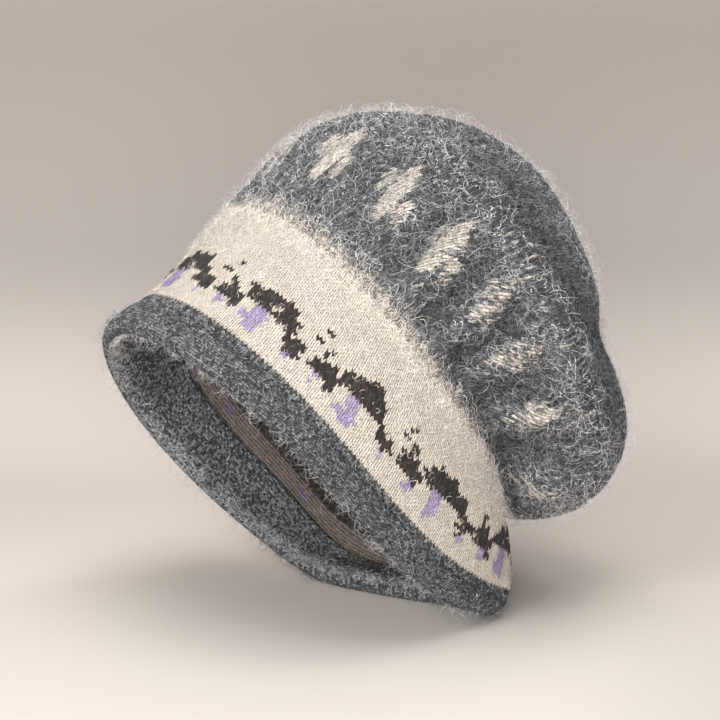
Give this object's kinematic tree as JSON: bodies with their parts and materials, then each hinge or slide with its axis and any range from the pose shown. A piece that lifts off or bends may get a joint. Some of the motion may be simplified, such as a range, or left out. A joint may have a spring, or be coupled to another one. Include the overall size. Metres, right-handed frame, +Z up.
{
  "type": "beanie",
  "caption": "Slouchy knitted beanie with a rolled hem, a patterned band and a wide crown that droops over the back, tipped back on its brim.",
  "frame": {"origin": "centre of the footprint's box, on the floor under the hat", "axes": "+Z up from the floor, +X towards the drooping crown at the back of the hat, -X towards the raised front of the opening"},
  "size_m": [0.2293, 0.1715, 0.2145],
  "materials": {
    "grey_knit": "matte",
    "cream_knit": "matte",
    "fuzzy_grey_knit": "matte"
  },
  "bodies": {
    "root": {"brim_hem": "grey_knit", "pattern_band": "cream_knit", "slouch_crown": "fuzzy_grey_knit"}
  },
  "joints": []
}
